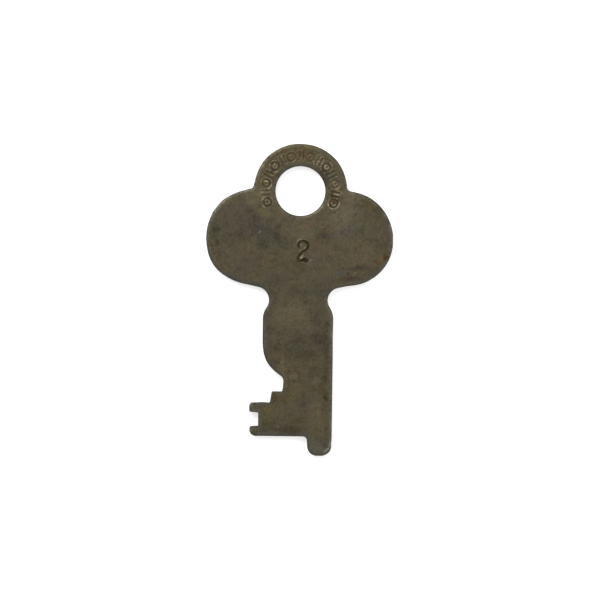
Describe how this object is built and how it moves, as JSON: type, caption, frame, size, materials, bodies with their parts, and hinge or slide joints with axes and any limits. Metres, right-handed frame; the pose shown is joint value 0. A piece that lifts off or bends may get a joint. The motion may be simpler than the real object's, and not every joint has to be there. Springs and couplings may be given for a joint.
{
  "type": "padlock key",
  "caption": "Flat key for a lever padlock: a three-lobed bow with a ring hole, a plain blade, a cut bit with a ward slot, and a round-ended post.",
  "frame": {"origin": "centre of the ring hole, on the key's back face", "axes": "+Z out of the struck face, along the ring hole; +Y from the bit up to the bow, along the key; the bit stands out towards -X"},
  "size_m": [0.0247, 0.0414, 0.0015],
  "materials": {
    "brass": "old brass sheet with a dark olive-brown patina, dull, rubbed brighter in places on its rims"
  },
  "bodies": {
    "root": {"flat_key": "brass"}
  },
  "joints": []
}
